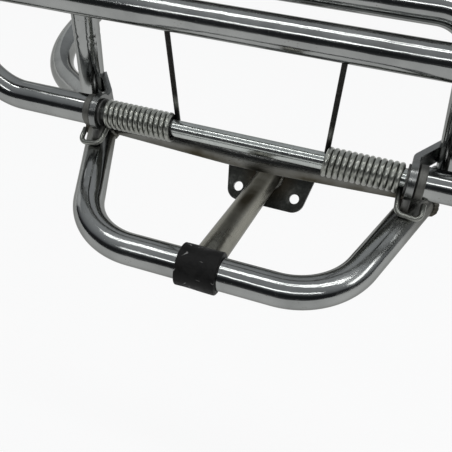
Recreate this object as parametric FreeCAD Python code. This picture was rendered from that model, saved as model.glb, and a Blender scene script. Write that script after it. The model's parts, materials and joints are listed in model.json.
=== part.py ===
import FreeCAD, Part

import math
import os

# Scooter rear grab handle and carrier: a welded tube frame with a sprung folding flap.
# Millimetres, +X to the right, +Y forwards, +Z up.
# The origin is midway between the two bolt holes, on the upper face of the mount plate.

Vec = FreeCAD.Vector

# Tube stock, shared by every bent tube
tube_od = 18.0
tube_wall = 1.6

# Hinge line, measured from the mount plate's bolts
axle_behind_bolts = 47.0
axle_above_bolts = 83.0
axle_dia = 10.0
axle_run_fit = 0.05

# Hinge lugs: bent strips with an eye for the axle and a tail on the rear hoop
lug_spread = 94.0
lug_thick = 4.0
lug_height = 12.0
lug_eye_r = 11.0
lug_bend_ahead = 14.0
lug_bend_r = 5.0
lug_weld_angle = 35.0
lug_tail_width = 9.0
lug_tail_slope = 65.0

# Rail under the axle, with an arm at each end that reaches forwards
rail_ahead = 9.9
rail_drop = 17.0
rail_bow = 5.4
rail_bow_r = 450.0
rail_corner_half = 99.5
rail_corner_r = 40.0
arm_half = 197.0
arm_ahead = 95.0
arm_drop = 43.4
arm_bend_r = 115.0
arm_end_ahead = 216.0

# Tabs that bolt the arms to the body sides
tab_thick = 4.0
tab_width = 24.0
tab_reach = 22.0
tab_lap = 12.0
tab_hole_dia = 8.5

# Rear hoop and the rubber sleeve on it
hoop_drop = 24.4
hoop_behind = 76.2
hoop_outside_lugs = 4.0
hoop_corner_half = 70.3
hoop_corner_r = 42.0
sleeve_length = 22.5
sleeve_wall = 2.8
sleeve_gap = 0.1

# Stay from the hoop's base down to the mount plate, seated above the bolt line
stay_od = 17.0
stay_seat_up = 13.0

# Mount plate at the foot of the stay
plate_tilt = 41.0
plate_thick = 4.0
plate_hole_spacing = 42.0
plate_hole_dia = 7.0
plate_low_half = 27.0
plate_low_edge = 10.0
plate_low_r = 9.0
plate_high_half = 34.0
plate_high_edge = 25.0
plate_high_r = 6.0

# Grab hoop standing on the arms, outside the lugs
grab_outside_lugs = 19.0
grab_od = 16.0
grab_lean_in = 7.0
grab_rise = 85.0
grab_corner_r = 22.0

# Folding flap: a flat loop whose lower run lies on the hinge line
flap_rise = 69.0
flap_bend_start = 146.0
flap_stop_gap = 0.3
collar_width = 5.0
collar_rim = 0.6
collar_spigot = 10.0
collar_gap = 0.2
axle_in_collar = 12.0

# Washers and torsion springs on the axle
washer_thick = 1.2
washer_od = 17.0
washer_run_fit = 0.15
wire_dia = 3.1
wire_facets = 8
coil_gap = 0.17
coil_turns = 13
coil_facets = 12
coil_axle_gap = 0.45
leg_lean_out = 2.8
leg_past_wall = 2.0
leg_hole_gap = 0.45
hook_facets = 2
hook_bend_steps = 3
hook_lug_gap = 0.35
hook_gap = 0.6
hook_reach = 7.5
hook_dip = 2.0
hook_return = 9.0
hook_lift = 2.0
hook_r = 4.0

# How far from parallel two edges may be, as a sine
parallel_slip = 0.01

# Sizes that follow from the ones above
tube_r = tube_od / 2
bore_r = tube_r - tube_wall
stay_r = stay_od / 2
grab_r = grab_od / 2
axle_r = axle_dia / 2
wire_r = wire_dia / 2
rail_y = rail_ahead + rail_bow
lug_inner = lug_spread - lug_thick / 2
lug_outer = lug_spread + lug_thick / 2
collar_inner = lug_outer + collar_gap
flap_end_r = flap_rise / 2
hoop_half = lug_spread + hoop_outside_lugs
grab_half = lug_spread + grab_outside_lugs
grab_share = (grab_half - rail_corner_half) / (arm_half - rail_corner_half)
grab_ahead = rail_y + (arm_ahead - rail_y) * grab_share
grab_foot_drop = rail_drop + (arm_drop - rail_drop) * grab_share
flap_lean = math.asin((grab_ahead - grab_r - tube_r - flap_stop_gap) / flap_rise)
coil_facet_angle = 2 * math.pi / coil_facets
coil_r = (axle_r + coil_axle_gap + wire_r) / math.cos(coil_facet_angle / 2)
coil_pitch = wire_dia + coil_gap
coil_steps = coil_turns * coil_facets + hook_facets
coil_length = coil_pitch * coil_steps / coil_facets
hook_x = lug_inner - hook_lug_gap - wire_r
coil_start_half = hook_x - wire_r - coil_length


def from_axle(x, y, z):
    """A point given from the middle of the axle, in the part's own frame."""
    return Vec(x, y - axle_behind_bolts, z + axle_above_bolts)


def on_flap(x, rise):
    """A point in the flap's own plane, at a height above the axle along its lean."""
    return from_axle(x, rise * math.sin(flap_lean), rise * math.cos(flap_lean))


def other_side(points):
    """The points mirrored to the left, in reverse order."""
    return [Vec(-p.x, p.y, p.z) for p in reversed(points)]


def mirrored(shape):
    """The same piece on the left side."""
    return shape.mirror(Vec(0, 0, 0), Vec(1, 0, 0))


def corner_frame(before, corner, after, radius):
    """Centre, first radius direction, run direction and turn of the arc that rounds a corner."""
    back = (before - corner).normalize()
    on = (after - corner).normalize()
    half = math.acos(back.dot(on)) / 2
    centre = corner + (back + on).normalize() * (radius / math.sin(half))
    first = (corner + back * (radius / math.tan(half)) - centre).normalize()
    return centre, first, back * -1, math.pi - 2 * half


def corner_point(before, corner, after, radius, share):
    """The point a share of the way round a rounded corner."""
    centre, first, along, turn = corner_frame(before, corner, after, radius)
    return centre + first * (radius * math.cos(turn * share)) + along * (radius * math.sin(turn * share))


def bent_path(points, radii):
    """A wire of straight runs through the points, each inner point rounded to its radius."""
    edges = []
    here = points[0]
    for before, corner, after, radius in zip(points, points[1:], points[2:], radii):
        start, middle, end = [corner_point(before, corner, after, radius, s) for s in (0, 0.5, 1)]
        edges.append(Part.makeLine(here, start))
        edges.append(Part.Arc(start, middle, end).toShape())
        here = end
    edges.append(Part.makeLine(here, points[-1]))
    return Part.Wire(edges)


def bar_along(path, radius):
    """A round bar of the given radius along a wire that starts with a straight run."""
    start = path.OrderedVertexes[0].Point
    along = path.OrderedVertexes[1].Point - start
    ring = Part.Wire(Part.makeCircle(radius, start, along))
    return path.makePipe(Part.Face(ring))


def rod(start, end, radius):
    """A straight round bar between two points."""
    return Part.makeCylinder(radius, (end - start).Length, start, end - start)


def hinge_rod(inner, outer, radius):
    """A round bar on the hinge line between two distances from the middle."""
    return rod(from_axle(inner, 0, 0), from_axle(outer, 0, 0), radius)


def rail_path():
    """Arm end, arm bend and rail corner on the right, the bowed middle, and the same on the left."""
    right = [
        from_axle(arm_half, arm_end_ahead, -arm_drop),
        from_axle(arm_half, arm_ahead, -arm_drop),
        from_axle(rail_corner_half, rail_y, -rail_drop),
    ]
    middle = from_axle(0, rail_ahead, -rail_drop)
    radii = [arm_bend_r, rail_corner_r, rail_bow_r, rail_corner_r, arm_bend_r]
    return bent_path(right + [middle] + other_side(right), radii)


def hoop_path():
    """The rear hoop's legs run back from the rail, under the lugs, and round to the base."""
    splay = (hoop_half - hoop_corner_half) / hoop_behind
    right = [
        from_axle(hoop_half + splay * rail_y, rail_y, -hoop_drop),
        from_axle(hoop_corner_half, -hoop_behind, -hoop_drop),
    ]
    return bent_path(right + other_side(right), [hoop_corner_r, hoop_corner_r])


def grab_path():
    """Up from one arm, leaning in, across, and down to the other arm."""
    foot_half = grab_half + grab_lean_in * grab_foot_drop / grab_rise
    right = [
        from_axle(foot_half, grab_ahead, -grab_foot_drop),
        from_axle(grab_half - grab_lean_in, grab_ahead, grab_rise),
    ]
    return bent_path(right + other_side(right), [grab_corner_r, grab_corner_r])


def flap_path():
    """Out along the hinge line, up round each end of the loop and back across the top."""
    quarter = flap_end_r * math.sin(math.pi / 4)
    low = on_flap(flap_bend_start, 0)
    low_mid = on_flap(flap_bend_start + quarter, flap_end_r - quarter)
    side = on_flap(flap_bend_start + flap_end_r, flap_end_r)
    high_mid = on_flap(flap_bend_start + quarter, flap_end_r + quarter)
    high = on_flap(flap_bend_start, flap_rise)
    edges = [
        Part.makeLine(on_flap(collar_inner + collar_width, 0), low),
        Part.Arc(low, low_mid, side).toShape(),
        Part.Arc(side, high_mid, high).toShape(),
        Part.makeLine(high, on_flap(-flap_bend_start, flap_rise)),
    ]
    left = [low, low_mid, side, high_mid, high]
    low, low_mid, side, high_mid, high = [Vec(-p.x, p.y, p.z) for p in left]
    edges.append(Part.Arc(high, high_mid, side).toShape())
    edges.append(Part.Arc(side, low_mid, low).toShape())
    edges.append(Part.makeLine(low, on_flap(-collar_inner - collar_width, 0)))
    return Part.Wire(edges)


def stay_ends():
    """The stay runs from the middle of the hoop's base to its seat on the mount plate."""
    tilt = math.radians(plate_tilt)
    seat = Vec(0, math.cos(tilt), math.sin(tilt)) * stay_seat_up
    return from_axle(0, -hoop_behind, -hoop_drop), seat


def plate_solid(outline, low, high):
    """A closed outline in the plate's plane, thickened between two heights and tilted into place."""
    face = Part.Face(Part.makePolygon(outline + outline[:1]))
    face.translate(Vec(0, 0, low))
    solid = face.extrude(Vec(0, 0, high - low))
    solid.rotate(Vec(0, 0, 0), Vec(1, 0, 0), plate_tilt)
    return solid


def upright_edges(solid, direction, where):
    """The solid's straight edges along a direction whose middle satisfies a test."""
    picked = []
    for edge in solid.Edges:
        run = edge.Vertexes[-1].Point - edge.Vertexes[0].Point
        if run.Length > 0 and run.cross(direction).Length < parallel_slip * run.Length and where(edge.CenterOfMass):
            picked.append(edge)
    return picked


def mount_plate():
    """Flat rounded trapezoid with the two bolt holes."""
    outline = [
        Vec(-plate_low_half, -plate_low_edge, 0),
        Vec(plate_low_half, -plate_low_edge, 0),
        Vec(plate_high_half, plate_high_edge, 0),
        Vec(-plate_high_half, plate_high_edge, 0),
    ]
    plate = plate_solid(outline, -plate_thick, 0)
    tilt = math.radians(plate_tilt)
    normal = Vec(0, -math.sin(tilt), math.cos(tilt))
    up_plate = Vec(0, math.cos(tilt), math.sin(tilt))
    low = upright_edges(plate, normal, lambda p: p.dot(up_plate) < 0)
    plate = plate.makeFillet(plate_low_r, low)
    high = upright_edges(plate, normal, lambda p: p.dot(up_plate) > plate_high_edge - plate_high_r / 2)
    plate = plate.makeFillet(plate_high_r, high)
    for side in (-1, 1):
        centre = Vec(side * plate_hole_spacing / 2, 0, 0)
        plate = plate.cut(rod(centre - normal * plate_thick, centre, plate_hole_dia / 2))
    return plate


def stay_tube(hoop_bar):
    """Tube from the hoop's base, coped to it and cut off flat on the plate."""
    start, end = stay_ends()
    beyond = end + (end - start).normalize() * tube_od
    tube = rod(start, beyond, stay_r).cut(rod(start, beyond, stay_r - tube_wall))
    reach = 2 * stay_od
    below = [Vec(x * reach, y * reach, 0) for x, y in ((-1, -1), (1, -1), (1, 1), (-1, 1))]
    return tube.cut(hoop_bar).cut(plate_solid(below, -reach, 0))


def rubber_sleeve():
    """Rubber ring round the hoop's base, notched where the stay leaves."""
    middle, plate = stay_ends()
    half = Vec(sleeve_length / 2, 0, 0)
    ring = rod(middle - half, middle + half, tube_r + sleeve_gap + sleeve_wall)
    ring = ring.cut(rod(middle - half, middle + half, tube_r + sleeve_gap))
    return ring.cut(rod(middle, plate, stay_r + sleeve_gap))


def hinge_lug(neighbours):
    """Strip from the axle eye to the grab hoop's upright, with a tail down to the rear hoop."""
    weld = math.radians(lug_weld_angle)
    path = bent_path([
        from_axle(lug_spread, 0, 0),
        from_axle(lug_spread, lug_bend_ahead, 0),
        from_axle(grab_half - grab_r * math.cos(weld), grab_ahead + grab_r * math.sin(weld), 0),
    ], [lug_bend_r])
    corners = [(lug_inner, -1), (lug_outer, -1), (lug_outer, 1), (lug_inner, 1), (lug_inner, -1)]
    section = Part.makePolygon([from_axle(x, 0, side * lug_height / 2) for x, side in corners])
    strip = path.makePipe(Part.Face(section))
    eye = hinge_rod(lug_inner, lug_outer, lug_eye_r)
    slope = math.radians(lug_tail_slope)
    along = Vec(0, -math.cos(slope), -math.sin(slope))
    aside = Vec(0, math.sin(slope), -math.cos(slope)) * (lug_tail_width / 2)
    top = from_axle(lug_inner, 0, 0)
    foot = top + along * ((hoop_drop - tube_r / 2) / math.sin(slope))
    tail = Part.Face(Part.makePolygon([top - aside, foot - aside, foot + aside, top + aside, top - aside]))
    lug = strip.fuse([eye, tail.extrude(Vec(lug_thick, 0, 0))])
    for bar in neighbours:
        lug = lug.cut(bar)
    lug = lug.cut(hinge_rod(lug_inner, lug_outer, axle_r + axle_run_fit))
    return lug.removeSplitter()


def arm_tab():
    """Flat tab let into the end of an arm, with a bolt hole across the scooter."""
    inner = arm_half - tab_thick / 2
    centre = from_axle(inner, arm_end_ahead + tab_reach - tab_width / 2, -arm_drop)
    across = Vec(tab_thick, 0, 0)
    back = centre.y - from_axle(0, arm_end_ahead - tab_lap, 0).y
    strip = Part.makeBox(tab_thick, back, tab_width, centre - Vec(0, back, tab_width / 2))
    tab = strip.fuse(rod(centre, centre + across, tab_width / 2))
    return tab.cut(rod(centre, centre + across, tab_hole_dia / 2)).removeSplitter()


def end_collar():
    """Collar on the end of the flap's lower run, with a spigot in the tube and a blind axle bore."""
    face = collar_inner + collar_width
    rim = hinge_rod(collar_inner, face, tube_r + collar_rim)
    collar = rim.fuse(hinge_rod(face, face + collar_spigot, bore_r))
    return collar.cut(hinge_rod(collar_inner, collar_inner + axle_in_collar, axle_r)).removeSplitter()


def leg_ends():
    """Foot of the spring's straight leg on the coil, and its tip inside the flap's top bar."""
    foot = from_axle(coil_start_half, coil_r, 0)
    tip = on_flap(coil_start_half + leg_lean_out, flap_rise - bore_r + leg_past_wall)
    return foot, tip


def spring_points():
    """Leg, coil and hook of the right spring, as the corners of a bent wire."""
    foot, tip = leg_ends()
    points = [tip]
    for k in range(coil_steps + 1):
        turn = k * coil_facet_angle
        x = coil_start_half + coil_pitch * k / coil_facets
        points.append(from_axle(x, coil_r * math.cos(turn), -coil_r * math.sin(turn)))
    slope = math.radians(lug_tail_slope)
    pass_drop = hoop_drop - tube_r - wire_r - hook_gap
    out_x = lug_outer + hook_reach
    tail_drop = pass_drop + hook_dip * (lug_outer - hook_x) / (out_x - hook_x)
    tail_rear = tail_drop / math.tan(slope) + lug_tail_width / 2 / math.sin(slope)
    pass_behind = tail_rear + wire_r + hook_gap
    bends = [
        points[-1],
        from_axle(hook_x, -pass_behind, -pass_drop),
        from_axle(out_x, -pass_behind, -pass_drop - hook_dip),
        from_axle(out_x, hook_return - pass_behind, hook_lift - pass_drop),
    ]
    for before, corner, after in zip(bends, bends[1:], bends[2:]):
        shares = [k / hook_bend_steps for k in range(hook_bend_steps + 1)]
        points += [corner_point(before, corner, after, hook_r, share) for share in shares]
    return points + bends[-1:]


def torsion_spring():
    """Wire of many-sided section along the spring's bends, mitred at each one."""
    points = spring_points()
    along = (points[1] - points[0]).normalize()
    side = along.cross(Vec(1, 0, 0)).normalize() * wire_r
    ahead = side.cross(along)
    ring = []
    for k in range(wire_facets + 1):
        turn = 2 * math.pi * k / wire_facets
        ring.append(points[0] + side * math.cos(turn) + ahead * math.sin(turn))
    sweep = Part.BRepOffsetAPI.MakePipeShell(Part.makePolygon(points))
    sweep.setTransitionMode(1)
    sweep.add(Part.makePolygon(ring))
    sweep.build()
    sweep.makeSolid()
    return sweep.shape()


def washer():
    """Thin washer between the spring's hook end and the lug."""
    inner = lug_inner - washer_thick
    ring = hinge_rod(inner, lug_inner, washer_od / 2)
    return ring.cut(hinge_rod(inner, lug_inner, axle_r + washer_run_fit))


def flap_loop():
    """The folding loop, with a hole in its top bar for each spring leg."""
    path = flap_path()
    loop = bar_along(path, tube_r).cut(bar_along(path, bore_r))
    foot, tip = leg_ends()
    entry = tip + (foot - tip).normalize() * (2 * tube_wall + leg_past_wall)
    hole = rod(entry, tip, wire_r + leg_hole_gap)
    return loop.cut(hole).cut(mirrored(hole))


def build():
    """Every piece by name."""
    rail_bar = bar_along(rail_path(), tube_r)
    hoop_bar = bar_along(hoop_path(), tube_r)
    grab_bar = bar_along(grab_path(), grab_r)
    tab = arm_tab()
    lug = hinge_lug([rail_bar, hoop_bar, grab_bar])
    collar = end_collar()
    spring = torsion_spring()
    disc = washer()
    axle_half = collar_inner + axle_in_collar
    return {
        "main_rail": rail_bar.cut(bar_along(rail_path(), bore_r)).cut(tab).cut(mirrored(tab)),
        "rear_hoop": hoop_bar.cut(bar_along(hoop_path(), bore_r)).cut(rail_bar),
        "grab_hoop": grab_bar.cut(bar_along(grab_path(), grab_r - tube_wall)).cut(rail_bar),
        "stay_tube": stay_tube(hoop_bar),
        "mount_plate": mount_plate(),
        "rubber_sleeve": rubber_sleeve(),
        "arm_tab_right": tab,
        "arm_tab_left": mirrored(tab),
        "hinge_lug_right": lug,
        "hinge_lug_left": mirrored(lug),
        "washer_right": disc,
        "washer_left": mirrored(disc),
        "spring_right": spring,
        "spring_left": mirrored(spring),
        "flap_loop": flap_loop(),
        "end_collar_right": collar,
        "end_collar_left": mirrored(collar),
        "hinge_axle": hinge_rod(-axle_half, axle_half, axle_r),
    }


os.makedirs("parts", exist_ok=True)
for name, shape in build().items():
    shape.exportStep("parts/" + name + ".step")
    print(name, len(shape.Solids), "solid", round(shape.Volume), "mm3")
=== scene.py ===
# %% [markdown]
# # A sprung grab handle in worn chrome
# The part is a welded tube frame for the back of a scooter, with a loop that folds on a sprung hinge.
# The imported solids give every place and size. This lesson dresses them: each tube is swept again as a
# smooth skin, because chrome shows every flat of a coarse mesh, and the springs become round wire.

import json
import math

import bmesh
import bpy
import numpy as np
from mathutils import Matrix, Vector


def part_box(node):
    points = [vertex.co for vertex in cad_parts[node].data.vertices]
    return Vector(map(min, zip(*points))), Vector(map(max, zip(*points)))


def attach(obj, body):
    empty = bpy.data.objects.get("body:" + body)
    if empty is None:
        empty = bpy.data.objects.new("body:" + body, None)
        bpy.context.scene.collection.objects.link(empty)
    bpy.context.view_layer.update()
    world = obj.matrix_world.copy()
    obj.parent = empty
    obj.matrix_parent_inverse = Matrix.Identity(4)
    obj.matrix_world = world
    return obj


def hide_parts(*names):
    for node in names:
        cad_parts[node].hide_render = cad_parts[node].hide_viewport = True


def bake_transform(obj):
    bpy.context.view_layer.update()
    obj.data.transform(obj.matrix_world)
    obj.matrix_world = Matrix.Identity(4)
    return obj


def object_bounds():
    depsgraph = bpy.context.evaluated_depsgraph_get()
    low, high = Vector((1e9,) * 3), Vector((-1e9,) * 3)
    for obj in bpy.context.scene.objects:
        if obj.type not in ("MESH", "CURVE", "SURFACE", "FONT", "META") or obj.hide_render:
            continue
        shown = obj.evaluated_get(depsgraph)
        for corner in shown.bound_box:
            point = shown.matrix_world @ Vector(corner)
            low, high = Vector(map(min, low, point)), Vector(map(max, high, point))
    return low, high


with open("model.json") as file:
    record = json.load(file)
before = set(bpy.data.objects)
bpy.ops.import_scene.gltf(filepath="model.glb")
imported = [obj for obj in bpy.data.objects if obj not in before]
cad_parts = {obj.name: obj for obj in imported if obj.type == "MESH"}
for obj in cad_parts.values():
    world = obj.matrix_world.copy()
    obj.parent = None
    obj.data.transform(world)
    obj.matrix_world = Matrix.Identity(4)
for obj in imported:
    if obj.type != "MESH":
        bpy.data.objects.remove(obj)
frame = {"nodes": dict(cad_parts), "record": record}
cad_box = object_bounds()
MM = 0.001
print("nodes in the frame:", len(frame["nodes"]))

# %% [markdown]
# ## Places taken from the frame
# A node's box gives its centre lines once the tube's radius is known. Reading the boxes, rather than
# typing the places again, keeps the looks on the solids when a size changes.


# %% Centre lines from the boxes
def corners_of(node):
    """The lowest and the highest corner of a node, as arrays."""
    low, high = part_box(node)
    return np.array(low), np.array(high)


TUBE_R = 9.0 * MM
TUBE_WALL = 1.6 * MM
STAY_R = 8.5 * MM
GRAB_R = 8.0 * MM

axle_low, axle_high = corners_of("hinge_axle")
AXLE = (axle_low + axle_high) / 2
AXLE_R = (axle_high[2] - axle_low[2]) / 2
AXLE_HALF = axle_high[0]
hoop_low = corners_of("rear_hoop")[0]
HOOP_Y = hoop_low[1] + TUBE_R
HOOP_Z = hoop_low[2] + TUBE_R
grab_low, grab_high = corners_of("grab_hoop")
GRAB_Y = (grab_low[1] + grab_high[1]) / 2
GRAB_TOP = grab_high[2] - GRAB_R
rail_low, rail_high = corners_of("main_rail")
ARM_X = rail_high[0] - TUBE_R
ARM_Z = rail_low[2] + TUBE_R
ARM_END_Y = rail_high[1]
LUG_INNER = corners_of("washer_right")[1][0]
LUG_THICK = 4.0 * MM
LUG_OUTER = LUG_INNER + LUG_THICK
LUG_X = (LUG_INNER + LUG_OUTER) / 2
print("axle at", AXLE.round(4), "radius", round(AXLE_R, 4), "lug at", round(LUG_X, 4))

# %% [markdown]
# ## Sweeping a skin along a route
# A bent tube is one circle carried along a centre line. The line is straight runs joined by arcs, as a
# tube bender makes them. Each ring is worked out at once for all stations, so a tube of ten thousand
# points is three lines of array arithmetic. Curves with a bevel would also do, but their ends, their
# UV scale and their small dents are harder to steer.


# %% Routes and rings
TUBE_STEP = 1.5 * MM
SAME_POINT = 1e-9
ARC_SHARE = 0.4
MOUTH_EDGE = 0.35 * MM
MOUTH_DEPTH = 16.0 * MM


def unit(vectors):
    """Vectors divided by their own lengths."""
    return vectors / np.linalg.norm(vectors, axis=-1, keepdims=True)


def even_steps(points, step):
    """The same line with stations about one step apart, measured along it."""
    run = np.linalg.norm(np.diff(points, axis=0), axis=1)
    keep = np.r_[True, run > SAME_POINT]
    points = points[keep]
    along = np.r_[0, np.cumsum(np.linalg.norm(np.diff(points, axis=0), axis=1))]
    wanted = np.linspace(0, along[-1], int(along[-1] / step) + 2)
    return np.stack([np.interp(wanted, along, points[:, axis]) for axis in range(3)], axis=1)


def rounded_route(corners, radii, step=TUBE_STEP):
    """Straight runs through the corners, each inner corner replaced by an arc of its radius.

    The arc starts radius / tan(half the corner's angle) before the corner and is
    centre + radius (first cos a - back sin a), with a from 0 to the turn."""
    corners = np.asarray(corners, float)
    parts = [corners[:1]]
    for before, corner, after, radius in zip(corners, corners[1:], corners[2:], radii):
        back = unit(before - corner)
        onward = unit(after - corner)
        half = math.acos(back @ onward) / 2
        centre = corner + unit(back + onward) * radius / math.sin(half)
        first = unit(corner + back * radius / math.tan(half) - centre)
        turn = math.pi - 2 * half
        a = np.linspace(0, turn, int(radius * turn / (ARC_SHARE * step)) + 3)[:, None]
        parts.append(centre + radius * (first * np.cos(a) - back * np.sin(a)))
    parts.append(corners[-1:])
    return even_steps(np.vstack(parts), step)


def mirrored(points):
    """The same line on the left, run the other way."""
    return np.asarray(points)[::-1] * (-1, 1, 1)


def cross_frames(stations, upright, closed=False):
    """The side and the third direction at each station.

    The side is the upright direction less its share along the tangent; the third is tangent x side."""
    if closed:
        tangent = unit(np.roll(stations, -1, axis=0) - np.roll(stations, 1, axis=0))
    else:
        tangent = unit(np.gradient(stations, axis=0))
    upright = np.broadcast_to(np.asarray(upright, float), stations.shape)
    side = unit(upright - tangent * (upright * tangent).sum(axis=1, keepdims=True))
    return side, np.cross(tangent, side)


def swept_rings(stations, radius, upright, around, closed=False):
    """Rings of points: station + radius (side cos a + third sin a)."""
    side, third = cross_frames(stations, upright, closed)
    a = np.linspace(0, 2 * math.pi, around, endpoint=False)
    radius = np.broadcast_to(radius, len(stations))[:, None, None]
    round_one = side[:, None] * np.cos(a)[:, None] + third[:, None] * np.sin(a)[:, None]
    return stations[:, None] + round_one * radius


def with_mouths(rings, stations, radius, bore):
    """The rings with a softened mouth and a short open bore added at both ends."""
    near = unit(rings[0] - stations[0])
    far = unit(rings[-1] - stations[-1])
    inward = unit(stations[1] - stations[0])
    outward = unit(stations[-2] - stations[-1])
    mouth = [(MOUTH_EDGE, bore), (0, bore + MOUTH_EDGE), (0, radius - MOUTH_EDGE), (MOUTH_EDGE, radius)]
    first = [stations[0] + inward * d + near * r for d, r in
             ((MOUTH_DEPTH, bore), *mouth)]
    last = [stations[-1] + outward * d + far * r for d, r in
            (*mouth[::-1], (MOUTH_DEPTH, bore))]
    return np.concatenate([first, rings[1:-1], last])


# %% [markdown]
# ## From rings to a closed mesh
# Rings become quads between neighbours. Open sweeps are closed by a fan to a pole at each end, and bead
# loops join their last ring to their first. The UV map is in metres, length by girth, so one scratch
# pattern has the same scale on every tube.


# %% Mesh from rings
def ring_uv(rings):
    """Length along the ring centres and girth round each ring, in metres, with the seam column doubled."""
    centres = rings.mean(axis=1)
    length = np.r_[0, np.cumsum(np.linalg.norm(np.diff(centres, axis=0), axis=1))]
    wrapped = np.concatenate([rings, rings[:, :1]], axis=1)
    chord = np.linalg.norm(np.diff(wrapped, axis=1), axis=2)
    girth = np.concatenate([np.zeros((len(rings), 1)), np.cumsum(chord, axis=1)], axis=1)
    return np.stack([np.broadcast_to(length[:, None], girth.shape), girth], axis=-1)


def skin(name, rings, finish, closed=False, crease=40):
    """A closed mesh object over rings: quads between them, and fans to end poles unless it is a loop."""
    count, around, _ = rings.shape
    here = np.arange(count * around).reshape(count, around)
    after = np.roll(here, -1, axis=1)
    if closed:
        rows, uv = np.roll(here, -1, axis=0), ring_uv(np.concatenate([rings, rings[:1]]))
        faces = np.stack([here, after, np.roll(after, -1, axis=0), rows], axis=-1).reshape(-1, 4)
    else:
        uv = ring_uv(rings)
        faces = np.stack([here[:-1], after[:-1], after[1:], here[1:]], axis=-1).reshape(-1, 4)
    corner_uv = np.stack([uv[:-1, :-1], uv[:-1, 1:], uv[1:, 1:], uv[1:, :-1]], axis=2).reshape(-1, 2)
    points = rings.reshape(-1, 3)
    faces = faces.tolist()
    if not closed:
        poles = np.stack([rings[0].mean(axis=0), rings[-1].mean(axis=0)])
        start, end = len(points), len(points) + 1
        fan = [np.full(around, start), after[0], here[0]], [np.full(around, end), here[-1], after[-1]]
        faces += np.stack(fan[0], axis=1).tolist() + np.stack(fan[1], axis=1).tolist()
        points = np.concatenate([points, poles])
        ends = [np.repeat(uv[row, :-1], 3, axis=0) for row in (0, -1)]
        corner_uv = np.concatenate([corner_uv] + ends)
    mesh = bpy.data.meshes.new(name)
    mesh.from_pydata(points.tolist(), [], faces)
    mesh.uv_layers.new(name="UVMap").uv.foreach_set("vector", corner_uv.astype(np.float32).ravel())
    mesh.polygons.foreach_set("use_smooth", np.ones(len(mesh.polygons), bool))
    mesh.set_sharp_from_angle(angle=math.radians(crease))
    piece = bpy.data.objects.new(name, mesh)
    bpy.context.collection.objects.link(piece)
    mesh.materials.append(finish)
    return piece


def dress(piece, body, slot, *nodes):
    """The piece moves with a body, if one is given, and stands for the named nodes, which are hidden. The
    slot is not used.
    """
    if body:
        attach(piece, body)
    if nodes:
        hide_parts(*nodes)
    print(piece.name, "faces", len(piece.data.polygons))


def point_value(piece, name, values):
    """Stores one number per vertex for a material to read."""
    layer = piece.data.attributes.new(name, "FLOAT", "POINT")
    layer.data.foreach_set("value", np.asarray(values, np.float32).ravel())


# %% [markdown]
# ## Finishes
# Each finish is a small node tree. Helpers keep the trees short: one makes a node with its inputs set,
# and one makes a colour ramp from plain stops.


# %% Node helpers
def new_finish(name):
    """A material with its tree and its Principled shader."""
    finish = bpy.data.materials.new(name)
    finish.use_nodes = True
    shader = finish.node_tree.nodes["Principled BSDF"]
    return finish, finish.node_tree, shader


def add(tree, kind, settings=None, **inputs):
    """A node with settings as attributes and inputs as values or as links from other sockets."""
    node = tree.nodes.new("ShaderNode" + kind)
    for key, value in (settings or {}).items():
        setattr(node, key, value)
    for key, value in inputs.items():
        socket = node.inputs[int(key[1:])] if key[0] == "i" and key[1:].isdigit() else node.inputs[key]
        if isinstance(value, bpy.types.NodeSocket):
            tree.links.new(value, socket)
        else:
            socket.default_value = value
    return node


def calc(tree, operation, *values, clamp=False):
    """One step of arithmetic on sockets or plain numbers."""
    numbered = {f"i{place}": value for place, value in enumerate(values)}
    return add(tree, "Math", {"operation": operation, "use_clamp": clamp}, **numbered).outputs["Value"]


def rescale(tree, value, old, new):
    """A value moved in proportion from the old range to the new one, and held at its ends."""
    return add(tree, "MapRange", Value=value, i1=old[0], i2=old[1], i3=new[0], i4=new[1]).outputs["Result"]


def ramp(tree, source, *stops):
    """A colour ramp from (position, grey or colour) stops."""
    node = add(tree, "ValToRGB", Fac=source)
    band = node.color_ramp
    while len(band.elements) < len(stops):
        band.elements.new(1.0)
    for element, (position, colour) in zip(band.elements, stops):
        element.position = position
        grey = (colour,) * 3 if np.ndim(colour) == 0 else colour
        element.color = (*grey, 1)
    return node.outputs["Color"]


def mix(tree, share, first, second):
    """A colour between first and second by a share."""
    node = add(tree, "Mix", {"data_type": "RGBA"}, Factor=share)
    sockets = [s for s in node.inputs if s.type == "RGBA"]
    for socket, value in zip(sockets, (first, second)):
        if isinstance(value, bpy.types.NodeSocket):
            tree.links.new(value, socket)
        else:
            socket.default_value = (*value, 1)
    return [s for s in node.outputs if s.type == "RGBA"][0]


def noise(tree, vector, scale, detail=3.0, rough=0.55):
    """A noise value from a vector."""
    return add(tree, "TexNoise", Vector=vector, Scale=scale, Detail=detail, Roughness=rough).outputs["Fac"]


def stretched(tree, vector, scale, turn=0.0):
    """A vector turned in its own plane and scaled by a different amount on each axis."""
    return add(tree, "Mapping", Vector=vector, Rotation=(0, 0, turn), Scale=scale).outputs["Vector"]


def bump(tree, height, distance, strength=1.0, normal=None):
    """A normal bent by a height, over an earlier normal where one is given."""
    node = add(tree, "Bump", Height=height, Distance=distance, Strength=strength)
    if normal:
        tree.links.new(normal, node.inputs["Normal"])
    return node.outputs["Normal"]
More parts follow.
